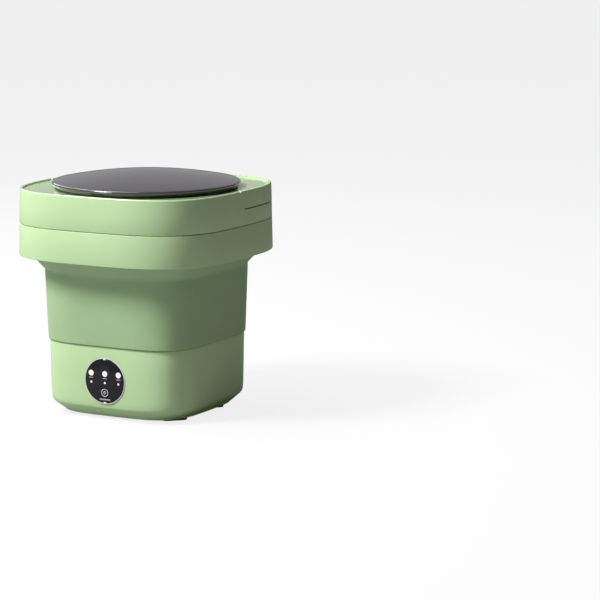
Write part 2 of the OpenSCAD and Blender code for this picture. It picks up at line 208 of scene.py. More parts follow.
def moulded_plastic(name, colour, roughness=0.42, grain=0.12, coat=0.0):
    """Satin moulded plastic: a very fine spark-eroded grain and a faint drift of tone and gloss."""
    finish, tree, shader = new_finish(name, colour, roughness, Specular_IOR_Level=0.32,
                                      Coat_Weight=coat, Coat_Roughness=0.12)
    drift = place_pattern(tree, "ShaderNodeTexNoise", 14, Detail=3)
    grain_noise = place_pattern(tree, "ShaderNodeTexNoise", 2600, Detail=2)
    tint(tree, shader, spread(tree, drift.outputs["Fac"], 0, 1, 0.3, 0.7),
         shade(colour, 0.975), shade(colour, 1.02))
    gloss = spread(tree, drift.outputs["Fac"], roughness - 0.03, roughness + 0.03, 0.3, 0.7)
    tree.links.new(gloss, shader.inputs["Roughness"])
    roughen(tree, shader, grain_noise.outputs["Fac"], grain, 0.1 * MM)
    return finish


def soft_silicone(name, colour):
    """Matte thermoplastic rubber: soft sheen, dusty fine grain."""
    finish, tree, shader = new_finish(name, colour, 0.6, Specular_IOR_Level=0.3,
                                      Sheen_Weight=0.12, Sheen_Roughness=0.5)
    drift = place_pattern(tree, "ShaderNodeTexNoise", 22, Detail=4)
    dust = place_pattern(tree, "ShaderNodeTexNoise", 1900, Detail=3)
    tint(tree, shader, spread(tree, drift.outputs["Fac"], 0, 1, 0.3, 0.7),
         shade(colour, 0.96), shade(colour, 1.03))
    tree.links.new(spread(tree, dust.outputs["Fac"], 0.54, 0.68, 0.3, 0.7),
                   shader.inputs["Roughness"])
    roughen(tree, shader, dust.outputs["Fac"], 0.2, 0.12 * MM)
    return finish


def smoked_lid(name, colour):
    """Dark smoked clear plastic under a hard gloss."""
    finish, tree, shader = new_finish(name, colour, 0.16, Specular_IOR_Level=0.5,
                                      Coat_Weight=1.0, Coat_Roughness=0.06)
    haze = place_pattern(tree, "ShaderNodeTexNoise", 7, Detail=3)
    tint(tree, shader, spread(tree, haze.outputs["Fac"], 0, 1, 0.35, 0.65),
         shade(colour, 0.85), shade(colour, 1.2))
    tree.links.new(spread(tree, haze.outputs["Fac"], 0.13, 0.2, 0.35, 0.65),
                   shader.inputs["Roughness"])
    return finish


def gloss_black(name, colour):
    """Printed glossy panel black with a trace of orange peel."""
    finish, tree, shader = new_finish(name, colour, 0.14, Specular_IOR_Level=0.32)
    peel = place_pattern(tree, "ShaderNodeTexNoise", 260, Detail=2)
    tree.links.new(spread(tree, peel.outputs["Fac"], 0.1, 0.2, 0.3, 0.7),
                   shader.inputs["Roughness"])
    roughen(tree, shader, peel.outputs["Fac"], 0.05, 0.05 * MM)
    return finish


def lit_white(name, colour, glow):
    """White light window, softly lit from behind."""
    finish, tree, shader = new_finish(name, colour, 0.3, Emission_Color=(*colour, 1),
                                      Emission_Strength=glow)
    cloud = place_pattern(tree, "ShaderNodeTexNoise", 420, Detail=2)
    tint(tree, shader, cloud.outputs["Fac"], shade(colour, 0.9), colour)
    return finish


def dark_rubber(name, colour, roughness=0.65):
    """Moulded black rubber with a chalky bloom."""
    finish, tree, shader = new_finish(name, colour, roughness, Specular_IOR_Level=0.35)
    bloom = place_pattern(tree, "ShaderNodeTexNoise", 90, Detail=5)
    grit = place_pattern(tree, "ShaderNodeTexNoise", 1500, Detail=2)
    tint(tree, shader, spread(tree, bloom.outputs["Fac"], 0, 1, 0.35, 0.7),
         colour, shade(colour, 1.8))
    roughen(tree, shader, grit.outputs["Fac"], 0.25, 0.1 * MM)
    return finish


def turned_metal(name, colour, roughness=0.28, scale=(900, 900, 6000)):
    """Machined metal with fine turning lines."""
    finish, tree, shader = new_finish(name, colour, roughness, Metallic=1.0)
    lines = place_pattern(tree, "ShaderNodeTexNoise", 1, Detail=2)
    stretch = tree.nodes.new("ShaderNodeMapping")
    stretch.inputs["Scale"].default_value = scale
    source = lines.inputs["Vector"].links[0].from_socket
    tree.links.new(source, stretch.inputs["Vector"])
    tree.links.new(stretch.outputs["Vector"], lines.inputs["Vector"])
    tree.links.new(spread(tree, lines.outputs["Fac"], roughness - 0.08, roughness + 0.12,
                          0.3, 0.7), shader.inputs["Roughness"])
    tint(tree, shader, lines.outputs["Fac"], shade(colour, 0.88), shade(colour, 1.08))
    return finish


def circuit_board(name, colour):
    """Green lacquer over fine copper tracks."""
    finish, tree, shader = new_finish(name, colour, 0.3, Coat_Weight=0.3)
    tracks = place_pattern(tree, "ShaderNodeTexVoronoi", 330)
    tracks.distance = "MANHATTAN"
    tint(tree, shader, spread(tree, tracks.outputs["Distance"], 1, 0, 0.1, 0.45),
         colour, shade(colour, 2.2))
    return finish


def pale_floor(name, colour):
    """Pale matt studio floor: evenly bright to look at with a faint contact shadow, and a plain
    soft bouncer to the light."""
    finish, tree, shader = new_finish(name, colour, 0.9, Specular_IOR_Level=0.0,
                                      Emission_Color=(1, 1, 1, 1))
    path = tree.nodes.new("ShaderNodeLightPath")
    seen = path.outputs["Is Camera Ray"]
    tint(tree, shader, seen, colour, shade(colour, 0.35))
    tree.links.new(spread(tree, seen, 0, 0.83), shader.inputs["Emission Strength"])
    return finish


FINISHES = {}


def make_finishes():
    """One finish for each material slot of the record, and two more: the polished rim and the
    printed labels."""
    colours = bpy.context.scene.washer_colours
    leaf, tub, rubber, steel = colours.leaf, colours.tub, colours.rubber, colours.steel
    FINISHES.update({
        "green_shell": moulded_plastic("leaf_green_plastic", leaf),
        "plateau": moulded_plastic("leaf_green_polished", leaf, 0.2, 0.03, 0.9),
        "green_sleeve": soft_silicone("sleeve_silicone", colours.sleeve),
        "smoke_lid": smoked_lid("smoked_lid", colours.smoke),
        "black_trim": gloss_black("trim_black", shade(colours.ink, 1.6)),
        "dark_rubber": dark_rubber("dark_rubber", rubber),
        "tub_plastic": moulded_plastic("tub_plastic", tub, 0.35, 0.05),
        "panel_black": gloss_black("panel_black", colours.ink),
        "panel_white": lit_white("panel_light", colours.white, 0.35),
        "bezel_pale": moulded_plastic("bezel_pale", (0.78, 0.76, 0.85), 0.25, 0.02),
        "label": moulded_plastic("label_ink", colours.label, 0.5, 0.02),
        "steel": turned_metal("steel", steel),
        "motor_metal": turned_metal("zinc_plate", shade(steel, 0.85), 0.42, (700, 700, 900)),
        "pulley_plastic": moulded_plastic("pulley_nylon", shade(tub, 0.95), 0.5, 0.1),
        "pulley_metal": turned_metal("pulley_aluminium", shade(steel, 1.15), 0.35),
        "belt_rubber": dark_rubber("belt_rubber", shade(rubber, 0.7), 0.75),
        "board": circuit_board("circuit_board", colours.board),
        "wire_red": moulded_plastic("wire_jacket", (0.42, 0.03, 0.02), 0.35, 0.02),
        "inner_black": moulded_plastic("inner_black", (0.035, 0.035, 0.038), 0.45, 0.15),
    })


# ---- modelling by operators ----


def alone(piece):
    """Makes piece the only selected object, and the active one."""
    bpy.ops.object.select_all(action="DESELECT")
    piece.select_set(True)
    bpy.context.view_layer.objects.active = piece


def modify(piece, kind, **settings):
    """Adds a modifier and applies it."""
    alone(piece)
    bpy.ops.object.modifier_add(type=kind)
    modifier = piece.modifiers[-1]
    for name, value in settings.items():
        setattr(modifier, name, value)
    bpy.ops.object.modifier_apply(modifier=modifier.name)


def place(piece, where=(0, 0, 0), turn=(0, 0, 0)):
    """Moves and turns piece, and keeps its place in its mesh."""
    alone(piece)
    piece.location = where
    piece.rotation_euler = turn
    bpy.ops.object.transform_apply(location=True, rotation=True, scale=True)
    return piece


def turned(name, section, sides=None):
    """A ring or cup: a circle at the section's first point, extruded and resized from point to
    point of (radius, height). A section that stops on the axis is capped there; any other
    one is closed."""
    sides = sides or bpy.context.scene.washer_sizes.sides
    radius, height = section[0]
    bpy.ops.object.select_all(action="DESELECT")
    bpy.ops.mesh.primitive_circle_add(vertices=sides, radius=radius, location=(0, 0, height))
    piece = bpy.context.object
    piece.name = piece.data.name = name
    bpy.ops.object.transform_apply(location=True, rotation=True, scale=True)
    bpy.ops.object.mode_set(mode="EDIT")
    bpy.ops.mesh.select_all(action="SELECT")
    closing = [] if section[-1][0] == 0 else section[:1]
    for next_radius, next_height in section[1:] + closing:
        bpy.ops.mesh.extrude_region_move(
            TRANSFORM_OT_translate={"value": (0, 0, next_height - height)})
        grow = next_radius / radius
        bpy.ops.transform.resize(value=(grow, grow, 1), center_override=(0, 0, next_height))
        radius, height = next_radius, next_height
    tidy_open_mesh()
    bpy.ops.object.mode_set(mode="OBJECT")
    return piece


def tidy_open_mesh():
    """In edit mode: merges doubles and turns every face outwards."""
    bpy.ops.mesh.select_all(action="SELECT")
    bpy.ops.mesh.remove_doubles(threshold=2e-6)
    bpy.ops.mesh.normals_make_consistent(inside=False)


def close_pole(piece):
    """Fills the small opening left round the axis."""
    alone(piece)
    bpy.ops.object.mode_set(mode="EDIT")
    bpy.ops.mesh.select_all(action="DESELECT")
    bpy.ops.mesh.select_mode(type="EDGE")
    bpy.ops.mesh.select_non_manifold()
    bpy.ops.mesh.edge_collapse()
    bpy.ops.mesh.select_mode(type="VERT")
    tidy_open_mesh()
    bpy.ops.object.mode_set(mode="OBJECT")


def close_end(piece):
    """Fills the open end of a turned piece."""
    alone(piece)
    bpy.ops.object.mode_set(mode="EDIT")
    bpy.ops.mesh.select_all(action="DESELECT")
    bpy.ops.mesh.select_non_manifold()
    bpy.ops.mesh.edge_face_add()
    tidy_open_mesh()
    bpy.ops.object.mode_set(mode="OBJECT")


def outward(piece):
    """Recalculates a piece's normals, as a mirrored block needs."""
    alone(piece)
    bpy.ops.object.mode_set(mode="EDIT")
    tidy_open_mesh()
    bpy.ops.object.mode_set(mode="OBJECT")
    return piece


def outline_reach(x, y, squareness):
    """How far out a square-round outline goes towards x, y, against its half width."""
    r = hypot(x, y)
    return ((abs(x) / r) ** squareness + (abs(y) / r) ** squareness) ** (-1 / squareness)


def square_off(piece, squareness):
    """Takes a round piece out to a square-round outline. squareness(r, z) is 2 for a circle, and
    more for flatter sides; radii become half widths."""
    for vertex in piece.data.vertices:
        x, y, z = vertex.co
        r = hypot(x, y)
        if r > 1e-7:
            reach = outline_reach(x, y, squareness(r, z))
            vertex.co = (x * reach, y * reach, z)
    return piece


def soften(piece, width, segments=3, limit=32):
    """Rounds every sharp edge."""
    modify(piece, "BEVEL", width=width, segments=segments, limit_method="ANGLE",
           angle_limit=radians(limit), harden_normals=False)
    return piece


def smooth(piece, limit=34):
    alone(piece)
    bpy.ops.object.shade_smooth_by_angle(angle=radians(limit))
    return piece


def combine(piece, tool, operation):
    """Boolean with a tool, which is used up."""
    modify(piece, "BOOLEAN", object=tool, operation=operation, solver="EXACT")
    bpy.data.objects.remove(tool)
    return piece


def join(pieces):
    """Several pieces made one object, named after the first."""
    bpy.ops.object.select_all(action="DESELECT")
    for piece in pieces:
        piece.select_set(True)
    bpy.context.view_layer.objects.active = pieces[0]
    bpy.ops.object.join()
    return pieces[0]


def block(name, corner, opposite):
    """A box between two corners."""
    size = Vector(opposite) - Vector(corner)
    bpy.ops.object.select_all(action="DESELECT")
    bpy.ops.mesh.primitive_cube_add(size=1, location=Vector(corner) + size / 2)
    piece = bpy.context.object
    piece.name = piece.data.name = name
    piece.scale = size
    bpy.ops.object.transform_apply(location=True, rotation=True, scale=True)
    return piece


def rod(name, radius, start, stop, sides=64):
    """A cylinder from one point to another."""
    along = Vector(stop) - Vector(start)
    bpy.ops.object.select_all(action="DESELECT")
    bpy.ops.mesh.primitive_cylinder_add(vertices=sides, radius=radius, depth=along.length)
    piece = bpy.context.object
    piece.name = piece.data.name = name
    return place(piece, (Vector(start) + Vector(stop)) / 2,
                 along.to_track_quat("Z", "Y").to_euler())


def hand_in(piece, body, slot, *nodes, finish=None):
    """Gives a finished piece its finish and body, and hides the CAD nodes that it stands for."""
    piece.data.materials.clear()
    piece.data.materials.append(FINISHES[finish or slot])
    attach(piece, body)
    if nodes:
        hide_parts(*nodes)
    return piece


def in_mm(points):
    return [(r * MM, z * MM) for r, z in points]


def arc(centre_r, centre_z, radius, start, stop, count):
    """Points of a round stretch of a section, in mm, angles in degrees."""
    steps = [radians(start + (stop - start) * i / count) for i in range(count + 1)]
    return [(centre_r + radius * cos(t), centre_z + radius * sin(t)) for t in steps]


# ---- pieces ----


class WASHER_OT_finishes(bpy.types.Operator):
    """Make the finishes and put them on the CAD nodes"""

    bl_idname = "washer.finishes"
    bl_label = "Finishes"

    def execute(self, context):
        make_finishes()
        for part in frame["record"]["subparts"]:
            mesh = frame["nodes"][part["node"]].data
            mesh.materials.clear()
            mesh.materials.append(FINISHES[part["material_slot"]])
        return {"FINISHED"}


def spout_axis_z():
    return low("drain_elbow").z + SPOUT_R * MM


class WASHER_OT_base(bpy.types.Operator):
    """Model the base housing, its bottom cover and its feet"""

    bl_idname = "washer.base"
    bl_label = "Base"

    def execute(self, context):
        sizes = context.scene.washer_sizes
        half = sizes.base_half / MM
        top = high("base_housing").z / MM
        low_z = low("base_housing").z / MM
        section = in_mm([
            (91.6, low_z + 0.1), (93.6, low_z), (94.6, low_z + 0.5), (101.2, low_z + 7.5),
            (102.1, low_z + 8.6), (102.8, low_z + 9.9), (103.3, low_z + 12),
            (103.6, low_z + 17), (103.9, 30), (half + 0.3, 62), (half + 0.7, top),
            (half - 2.8, top), (half - 3.4, 24), (99.5, 18), (96.5, 13.4), (90, 9.6)])
        housing = turned("base_shell", section)
        square_off(housing, self.squareness)
        soften(housing, sizes.edge)
        panel_y, panel_z = low("base_housing").y, middle("panel_fascia").z
        seat = sizes.panel_r + 0.8 * MM
        for radius, depth in ((seat, 1.5 * MM), (seat - 3.3 * MM, 12 * MM)):
            combine(housing, rod("seat", radius, (0, panel_y - 0.01, panel_z),
                                 (0, panel_y + depth, panel_z), 96), "DIFFERENCE")
        inlet = middle("dc_inlet")
        for x, z, radius in ((0, spout_axis_z(), SPOUT_R + 0.4), (inlet.x, inlet.z, INLET_HOLE_R)):
            combine(housing, rod("hole", radius * MM, (x, 0.08, z), (x, 0.12, z)), "DIFFERENCE")
        hand_in(smooth(housing), "base", "green_shell", "base_housing")
        self.bottom_cover()
        self.feet()
        return {"FINISHED"}

    def squareness(self, r, z):
        """Rounder in plan towards the floor."""
        floor_square, start, ease = 3.9, 3 * MM, 17 * MM
        lift = min(1, max(0, (z - start) / ease))
        return floor_square + (bpy.context.scene.washer_sizes.base_square - floor_square) * lift

    def bottom_cover(self):
        top, flat = high("bottom_cover").z / MM, low("bottom_cover").z / MM
        section = in_mm([(91.4, top), (91.6, top - 0.9), (91.5, flat + 1.1), (90.9, flat + 0.4),
                         (89.6, flat), (60, flat), (30, flat), (1, flat)])
        inner = in_mm([(84, flat + 2.6), (86.4, flat + 2.7), (88.8, top - 0.6), (89.4, top)])
        cover = turned("bottom_shell", in_mm([(1, flat + 2.6)]) + inner + section)
        square_off(cover, self.squareness)
        reach = high("cover_screws").x - COVER_SCREW_HEAD_R * MM
        for x in (-reach, reach):
            for y in (-reach, reach):
                combine(cover, rod("recess", 3.6 * MM, (x, y, 0), (x, y, 4.6 * MM)), "DIFFERENCE")
        slots, pitch, half_width = 7, 7, 1.2 * MM
        for i in range(slots):
            y = (i - slots // 2) * pitch * MM
            slot = block("slot", (-70 * MM, y - half_width, 0), (-42 * MM, y + half_width, 8 * MM))
            combine(cover, soften(slot, 1.1 * MM, 4, 60), "DIFFERENCE")
        hand_in(smooth(cover), "base", "green_shell", "bottom_cover")

    def feet(self):
        feet = [self.pad((side * start.x, start.y, 0), (side * stop.x, stop.y, 0))
                for side in (-1, 1) for start, stop in FEET]
        hand_in(smooth(join(feet)), "base", "dark_rubber", "rubber_feet")

    def pad(self, start, stop):
        """A rubber pad, a slot in plan between the centres of its two ends, in mm."""
        start, step = Vector(start) * MM, (Vector(stop) - Vector(start)) * MM
        pad = rod("rubber_pads", FOOT_R * MM, start,
                  start + Vector((0, 0, high("rubber_feet").z)), 48)
        for vertex in pad.data.vertices:
            if (vertex.co - start).dot(step) > 0:
                vertex.co += step
        return soften(pad, 0.8 * MM, 3)


class WASHER_OT_sleeve(bpy.types.Operator):
    """Model the soft folding sleeve"""

    bl_idname = "washer.sleeve"
    bl_label = "Folding sleeve"

    def execute(self, context):
        bottom, top = low("folding_sleeve").z / MM, high("folding_sleeve").z / MM
        wall = 2.5
        waist, shoulder = 184.5, 203
        wall_steps, shoulder_steps = 28, 8
        outer = [(106.5, bottom), (106.8, bottom + 0.4), (106.9, bottom + 1.2)]
        outer += [(107 + 2.9 * i / wall_steps,
                   bottom + 3 + (waist - 6 - bottom - 3) * i / wall_steps)
                  for i in range(wall_steps + 1)]
        outer += [(110.05, waist - 3.5), (110.4, waist - 1.4), (111.1, waist + 0.4),
                  (112.4, waist + 2.1)]
        outer += [(112.4 + 15.2 * i / shoulder_steps,
                   waist + 2.1 + (shoulder - waist - 3.4) * i / shoulder_steps)
                  for i in range(1, shoulder_steps + 1)]
        outer += [(128.6, shoulder + 0.4), (129, shoulder + 2.2), (129, top - 4), (129, top)]
        inner = [(r - wall, z + (2.0 if waist - 2 < z < shoulder + 1 else 0))
                 for r, z in reversed(outer)]
        sleeve = turned("soft_sleeve", in_mm(outer + inner))
        square_off(sleeve, self.squareness)
        smooth(sleeve, 60)
        sleeve.data.materials.append(FINISHES["green_sleeve"])
        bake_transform(sleeve)
        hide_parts("folding_sleeve")
        return {"FINISHED"}

    def squareness(self, r, z):
        """Follows the base below and eases to the ring's rounder outline through the shoulder."""
        foot, waist_drop, shoulder_drop = 4.4, 0.15, 0.9
        waist_z, shoulder_height = 180 * MM, 23 * MM
        rise = min(1, max(0, (z - waist_z) / shoulder_height))
        return foot - waist_drop * min(1, z / waist_z) - shoulder_drop * rise


class WASHER_OT_head(bpy.types.Operator):
    """Model the head ring's two shells and its liner"""

    bl_idname = "washer.head"
    bl_label = "Head ring"

    def execute(self, context):
        self.lower_shell(context.scene.washer_sizes)
        self.upper_shell(context.scene.washer_sizes)
        self.liner()
        return {"FINISHED"}

    def lower_shell(self, sizes):
        half, flare = sizes.head_half / MM, sizes.head_flare / MM
        bottom, seam = low("head_lower_shell").z / MM, sizes.seam_z / MM
        shell = turned("ring_lower_shell", in_mm([
            (half + flare, bottom), (half + flare * 0.5, (bottom + seam) / 2),
            (half, seam - 0.45), (half - 2.2, seam - 0.45), (half - 3, seam + 2.4),
            (half - 5, seam + 2.4), (half - 4.6, seam - 7), (half - 2.4, seam - 10),
            (half - 2.2, bottom + 2.6), (131, bottom + 2.6), (131, bottom)]))
        square_off(shell, lambda r, z: sizes.head_square)
        soften(shell, 0.7 * MM)
        for turn in range(RING_SCREWS):
            angle = 2 * pi * (turn + 0.5) / RING_SCREWS
            x, y = cos(angle), sin(angle)
            reach = RING_SCREW_HALF * MM * outline_reach(x, y, sizes.head_square)
            x, y = reach * x, reach * y
            combine(shell, rod("screw_well", 3.1 * MM, (x, y, 0.19), (x, y, 0.215), 32),
                    "DIFFERENCE")
        hand_in(smooth(shell), "head", "green_shell", "head_lower_shell")

    def upper_shell(self, sizes):
        half, flare = sizes.head_half / MM, sizes.head_flare / MM
        rim, seam = sizes.rim_z / MM, sizes.seam_z / MM
        low_edge, crest = rim - 3.5, half - flare
        inner = half - sizes.rim_width / MM
        shell = turned("ring_upper_shell", in_mm(
            rim_round(crest, rim) + [
                (inner + 0.5, rim - 0.15), (inner + 0.1, rim - 0.5), (inner - 0.1, rim - 1.6),
                (inner - 0.6, rim - 2.1), (inner - 2, rim - 2.25), (131, rim - 2.6),
                (122, low_edge + 0.25), (OPENING_R + 6, low_edge), (OPENING_R + 1.6, low_edge - 0.2),
                (OPENING_R + 0.4, low_edge - 0.7), (OPENING_R, low_edge - 1.6),
                (OPENING_R, low_edge - 3), (OPENING_R + 2, low_edge - 3.1),
                (half - 8.4, low_edge - 3.1), (half - 8.4, 262), (half - 3.4, 258),
                (half - 3.2, seam + 0.45), (half, seam + 0.45), (half - flare * 0.5, 266)]))
        square_off(shell, lambda r, z: self.plateau_squareness(r, sizes))
        soften(shell, 0.35 * MM, 2, 40)
        recess = ring_block("recess", half - sizes.handle_t / MM - 0.6, half + 9, 262, 300)
        combine(recess, arm_profile(0.2, 1.7), "INTERSECT")
        combine(shell, recess, "DIFFERENCE")
        combine(shell, corner_notch(), "DIFFERENCE")
        hand_in(smooth(shell), "head", "green_shell", "head_upper_shell")
        self.polish_plateau(shell)

    def polish_plateau(self, shell):
        """Gives the rim and the dished top a glossier finish than the walls."""
        shell.data.materials.append(FINISHES["plateau"])
        floor = bpy.context.scene.washer_sizes.rim_z - 4.4 * MM
        for face in shell.data.polygons:
            if face.normal.z > 0.5 and face.center.z > floor:
                face.material_index = 1

    def plateau_squareness(self, r, sizes):
        """From the round opening out to the ring's outline."""
        share = min(1, max(0, (r - 119.5 * MM) / (sizes.head_half - 127 * MM)))
        return 2 + (sizes.head_square - 2) * share

    def liner(self):
        top = high("head_liner").z / MM
        bottom = low("head_liner").z / MM
        liner = turned("tub_collar", in_mm([
            (113.5, top), (113.5, top - 2.5), (117, top - 3.2), (121, top - 6), (122, top - 10),
            (122, bottom), (124.5, bottom), (124.5, top)]))
        head_square = bpy.context.scene.washer_sizes.head_square
        square_off(liner, lambda r, z: 2 + (head_square - 2) * min(
            1, max(0, (r - 113.5 * MM) / (8.5 * MM))))
        soften(liner, 0.5 * MM, 2, 40)
        hand_in(smooth(liner), "head", "tub_plastic", "head_liner")


def rim_round(crest, rim):
    """The rounded outer edge of the rim, from the wall up, in mm."""
    return [(crest - RIM_ROUND * (1 - cos(radians(t))), rim - RIM_ROUND * (1 - sin(radians(t))))
            for t in (0, 20, 40, 60, 75, 90)]


def ring_block(name, inner, outer, bottom, top):
    """A plain square-round ring, in mm, with the head's outline."""
    ring = turned(name, in_mm([(outer, bottom), (outer, top), (inner, top), (inner, bottom)]))
    square = bpy.context.scene.washer_sizes.head_square
    return square_off(ring, lambda r, z: square)


def handle_pivot():
    """The handle's pivot across the ring, as y and z in mm."""
    pivot = middle("handle_pins")
    return pivot.y / MM, pivot.z / MM


def arm_front(gap):
    """How far in front of its pivot the handle's arm stands at the rim, in mm."""
    up = high("carry_handle").z / MM - handle_pivot()[1]
    return ((ARM_R + gap) ** 2 - up ** 2) ** 0.5


def across_ring(name, spare, front, back, bottom, top):
    """A block right through the ring along X, in mm; spare keeps its ends off the others'."""
    side = ARM_SPAN + spare
    return block(name, (-side * MM, front * MM, bottom * MM), (side * MM, back * MM, top * MM))


def arm_profile(gap, slit):
    """The handle's side profile, run right through the ring along X: gap round the front and
    slit below it, in mm."""
    y, z = handle_pivot()
    bottom, top = low("carry_handle").z / MM, high("carry_handle").z / MM
    heel = z - bottom - 7.5

    def bar(radius, dy, dz):
        return rod("arm_profile", radius * MM, (-ARM_SPAN * MM, (y + dy) * MM, (z + dz) * MM),
                   (ARM_SPAN * MM, (y + dy) * MM, (z + dz) * MM), 96)

    profile = bar(ARM_R + gap, 0, 0)
    combine(profile, bar(heel + gap, 4, -7.45), "UNION")
    combine(profile, across_ring("back", 2, y + 0.5, 200, bottom - slit, top + 3), "UNION")
    combine(profile, across_ring("top", 4, y - arm_front(gap), 202, top - 0.3, top + 4), "UNION")
    slab = across_ring("slab", 10, -30, 210, bottom - slit - 4, top + 2)
    return combine(profile, slab, "INTERSECT")


def corner_notch():
    """A small V across the rim where the arm's front meets it."""
    y, side = handle_pivot()[0] - arm_front(0), 1.8
    notch = across_ring("notch", 0, -side, side, -side, side)
    return place(notch, (0, y * MM, high("carry_handle").z + 0.1 * MM), (pi / 4, 0, 0))


def side_of_ring(half, y, square):
    """How far out along X a square-round outline is, at y."""
    return half * (1 - abs(y / half) ** square) ** (1 / square)


class WASHER_OT_handle(bpy.types.Operator):
    """Model the flush carry handle"""

    bl_idname = "washer.handle"
    bl_label = "Carry handle"

    def execute(self, context):
        sizes = context.scene.washer_sizes
        half, thick = sizes.head_half / MM - 0.1, sizes.handle_t / MM
        bottom, top = low("carry_handle").z / MM, high("carry_handle").z / MM
        handle = turned("carry_bail", in_mm(
            [(half - thick, bottom - 1), (half - 0.1, bottom - 1)]
            + rim_round(half - sizes.head_flare / MM + 0.1, top)
            + [(half - thick + 0.5, top - 0.15), (half - thick, top - 0.6)]))
        square_off(handle, lambda r, z: sizes.head_square)
        combine(handle, arm_profile(0, 0.05), "INTERSECT")
        combine(handle, corner_notch(), "DIFFERENCE")
        wall = side_of_ring(half, GROOVE_Y, sizes.head_square)
        depth, groove_low, groove_high = 1.6, 271.5 * MM, 284 * MM
        y, z = (value * MM for value in handle_pivot())
        for side in (-1, 1):
            groove = block("groove", (side * (wall - depth) * MM, (GROOVE_Y - 0.9) * MM, groove_low),
                           (side * (wall + 3) * MM, (GROOVE_Y + 1) * MM, groove_high))
            combine(handle, outward(groove), "DIFFERENCE")
            pin = rod("pin_hole", 2.06 * MM, (side * 0.13, y, z), (side * 0.1413, y, z), 48)
            combine(handle, pin, "DIFFERENCE")
        soften(handle, 0.5 * MM, 3, 50)
        hand_in(smooth(handle), "handle", "green_shell", "carry_handle")
        return {"FINISHED"}


class WASHER_OT_lid(bpy.types.Operator):
    """Model the smoked lid, its skirt and its seal"""

    bl_idname = "washer.lid"
    bl_label = "Lid"

    def execute(self, context):
        r, top = context.scene.washer_sizes.lid_r / MM, high("lid_dome").z / MM
        edge = top - DOME_RISE
        steps = 14
        rings = [i / steps for i in range(steps, -1, -1)]
        crown = [((r - 2) * s, edge + DOME_RISE * (1 - ((r - 2) * s / r) ** 2)) for s in rings]
        side = [(r - 5.3, edge - 6.6), (r - 4.2, edge - 6.7), (r - 3.5, edge - 6.1),
                (r - 1.7, edge - 4.2), (r - 0.5, edge - 2.9)]
        lip = side + arc(r - 2.1, edge - 1.75, 2.1, -5, 72, 8)
        under = [(2, top - 3.2), (60, edge + DOME_RISE * 0.75 - 3.2), (r - 13, edge - 0.9),
                 (r - 8, edge - 3.4)]
        dome = turned("lid_glass", in_mm(under + lip + crown), 192)
        close_pole(dome)
        hand_in(smooth(dome, 50), "lid", "smoke_lid", "lid_dome")
        self.skirt(edge)
        return {"FINISHED"}

    def skirt(self, edge):
        plateau = low("lid_seal").z / MM
        skirt = turned("lid_skirt_ring", in_mm([
            (115.2, edge - 5.6), (114.6, plateau + 1.6), (112.3, plateau + 1.6),
            (112.3, plateau - 3.4), (109.8, plateau - 3.4), (109.8, edge - 3.4),
            (112.4, edge - 3.4)]), 192)
        soften(skirt, 0.4 * MM, 2)
        tab = block("tab", (-9 * MM, -118.6 * MM, plateau * MM + 2.1 * MM),
                    (9 * MM, -114 * MM, plateau * MM + 5.0 * MM))
        soften(tab, 1.1 * MM, 3)
        hand_in(smooth(join([skirt, tab])), "lid", "black_trim", "lid_skirt")
        seal = turned("lid_gasket", in_mm([
            (115.8, plateau + 0.1), (116, plateau + 0.8), (115.6, plateau + 1.5),
            (112.6, plateau + 1.5), (112.4, plateau + 0.1)]), 192)
        hand_in(smooth(soften(seal, 0.3 * MM, 2)), "lid", "dark_rubber", "lid_seal")


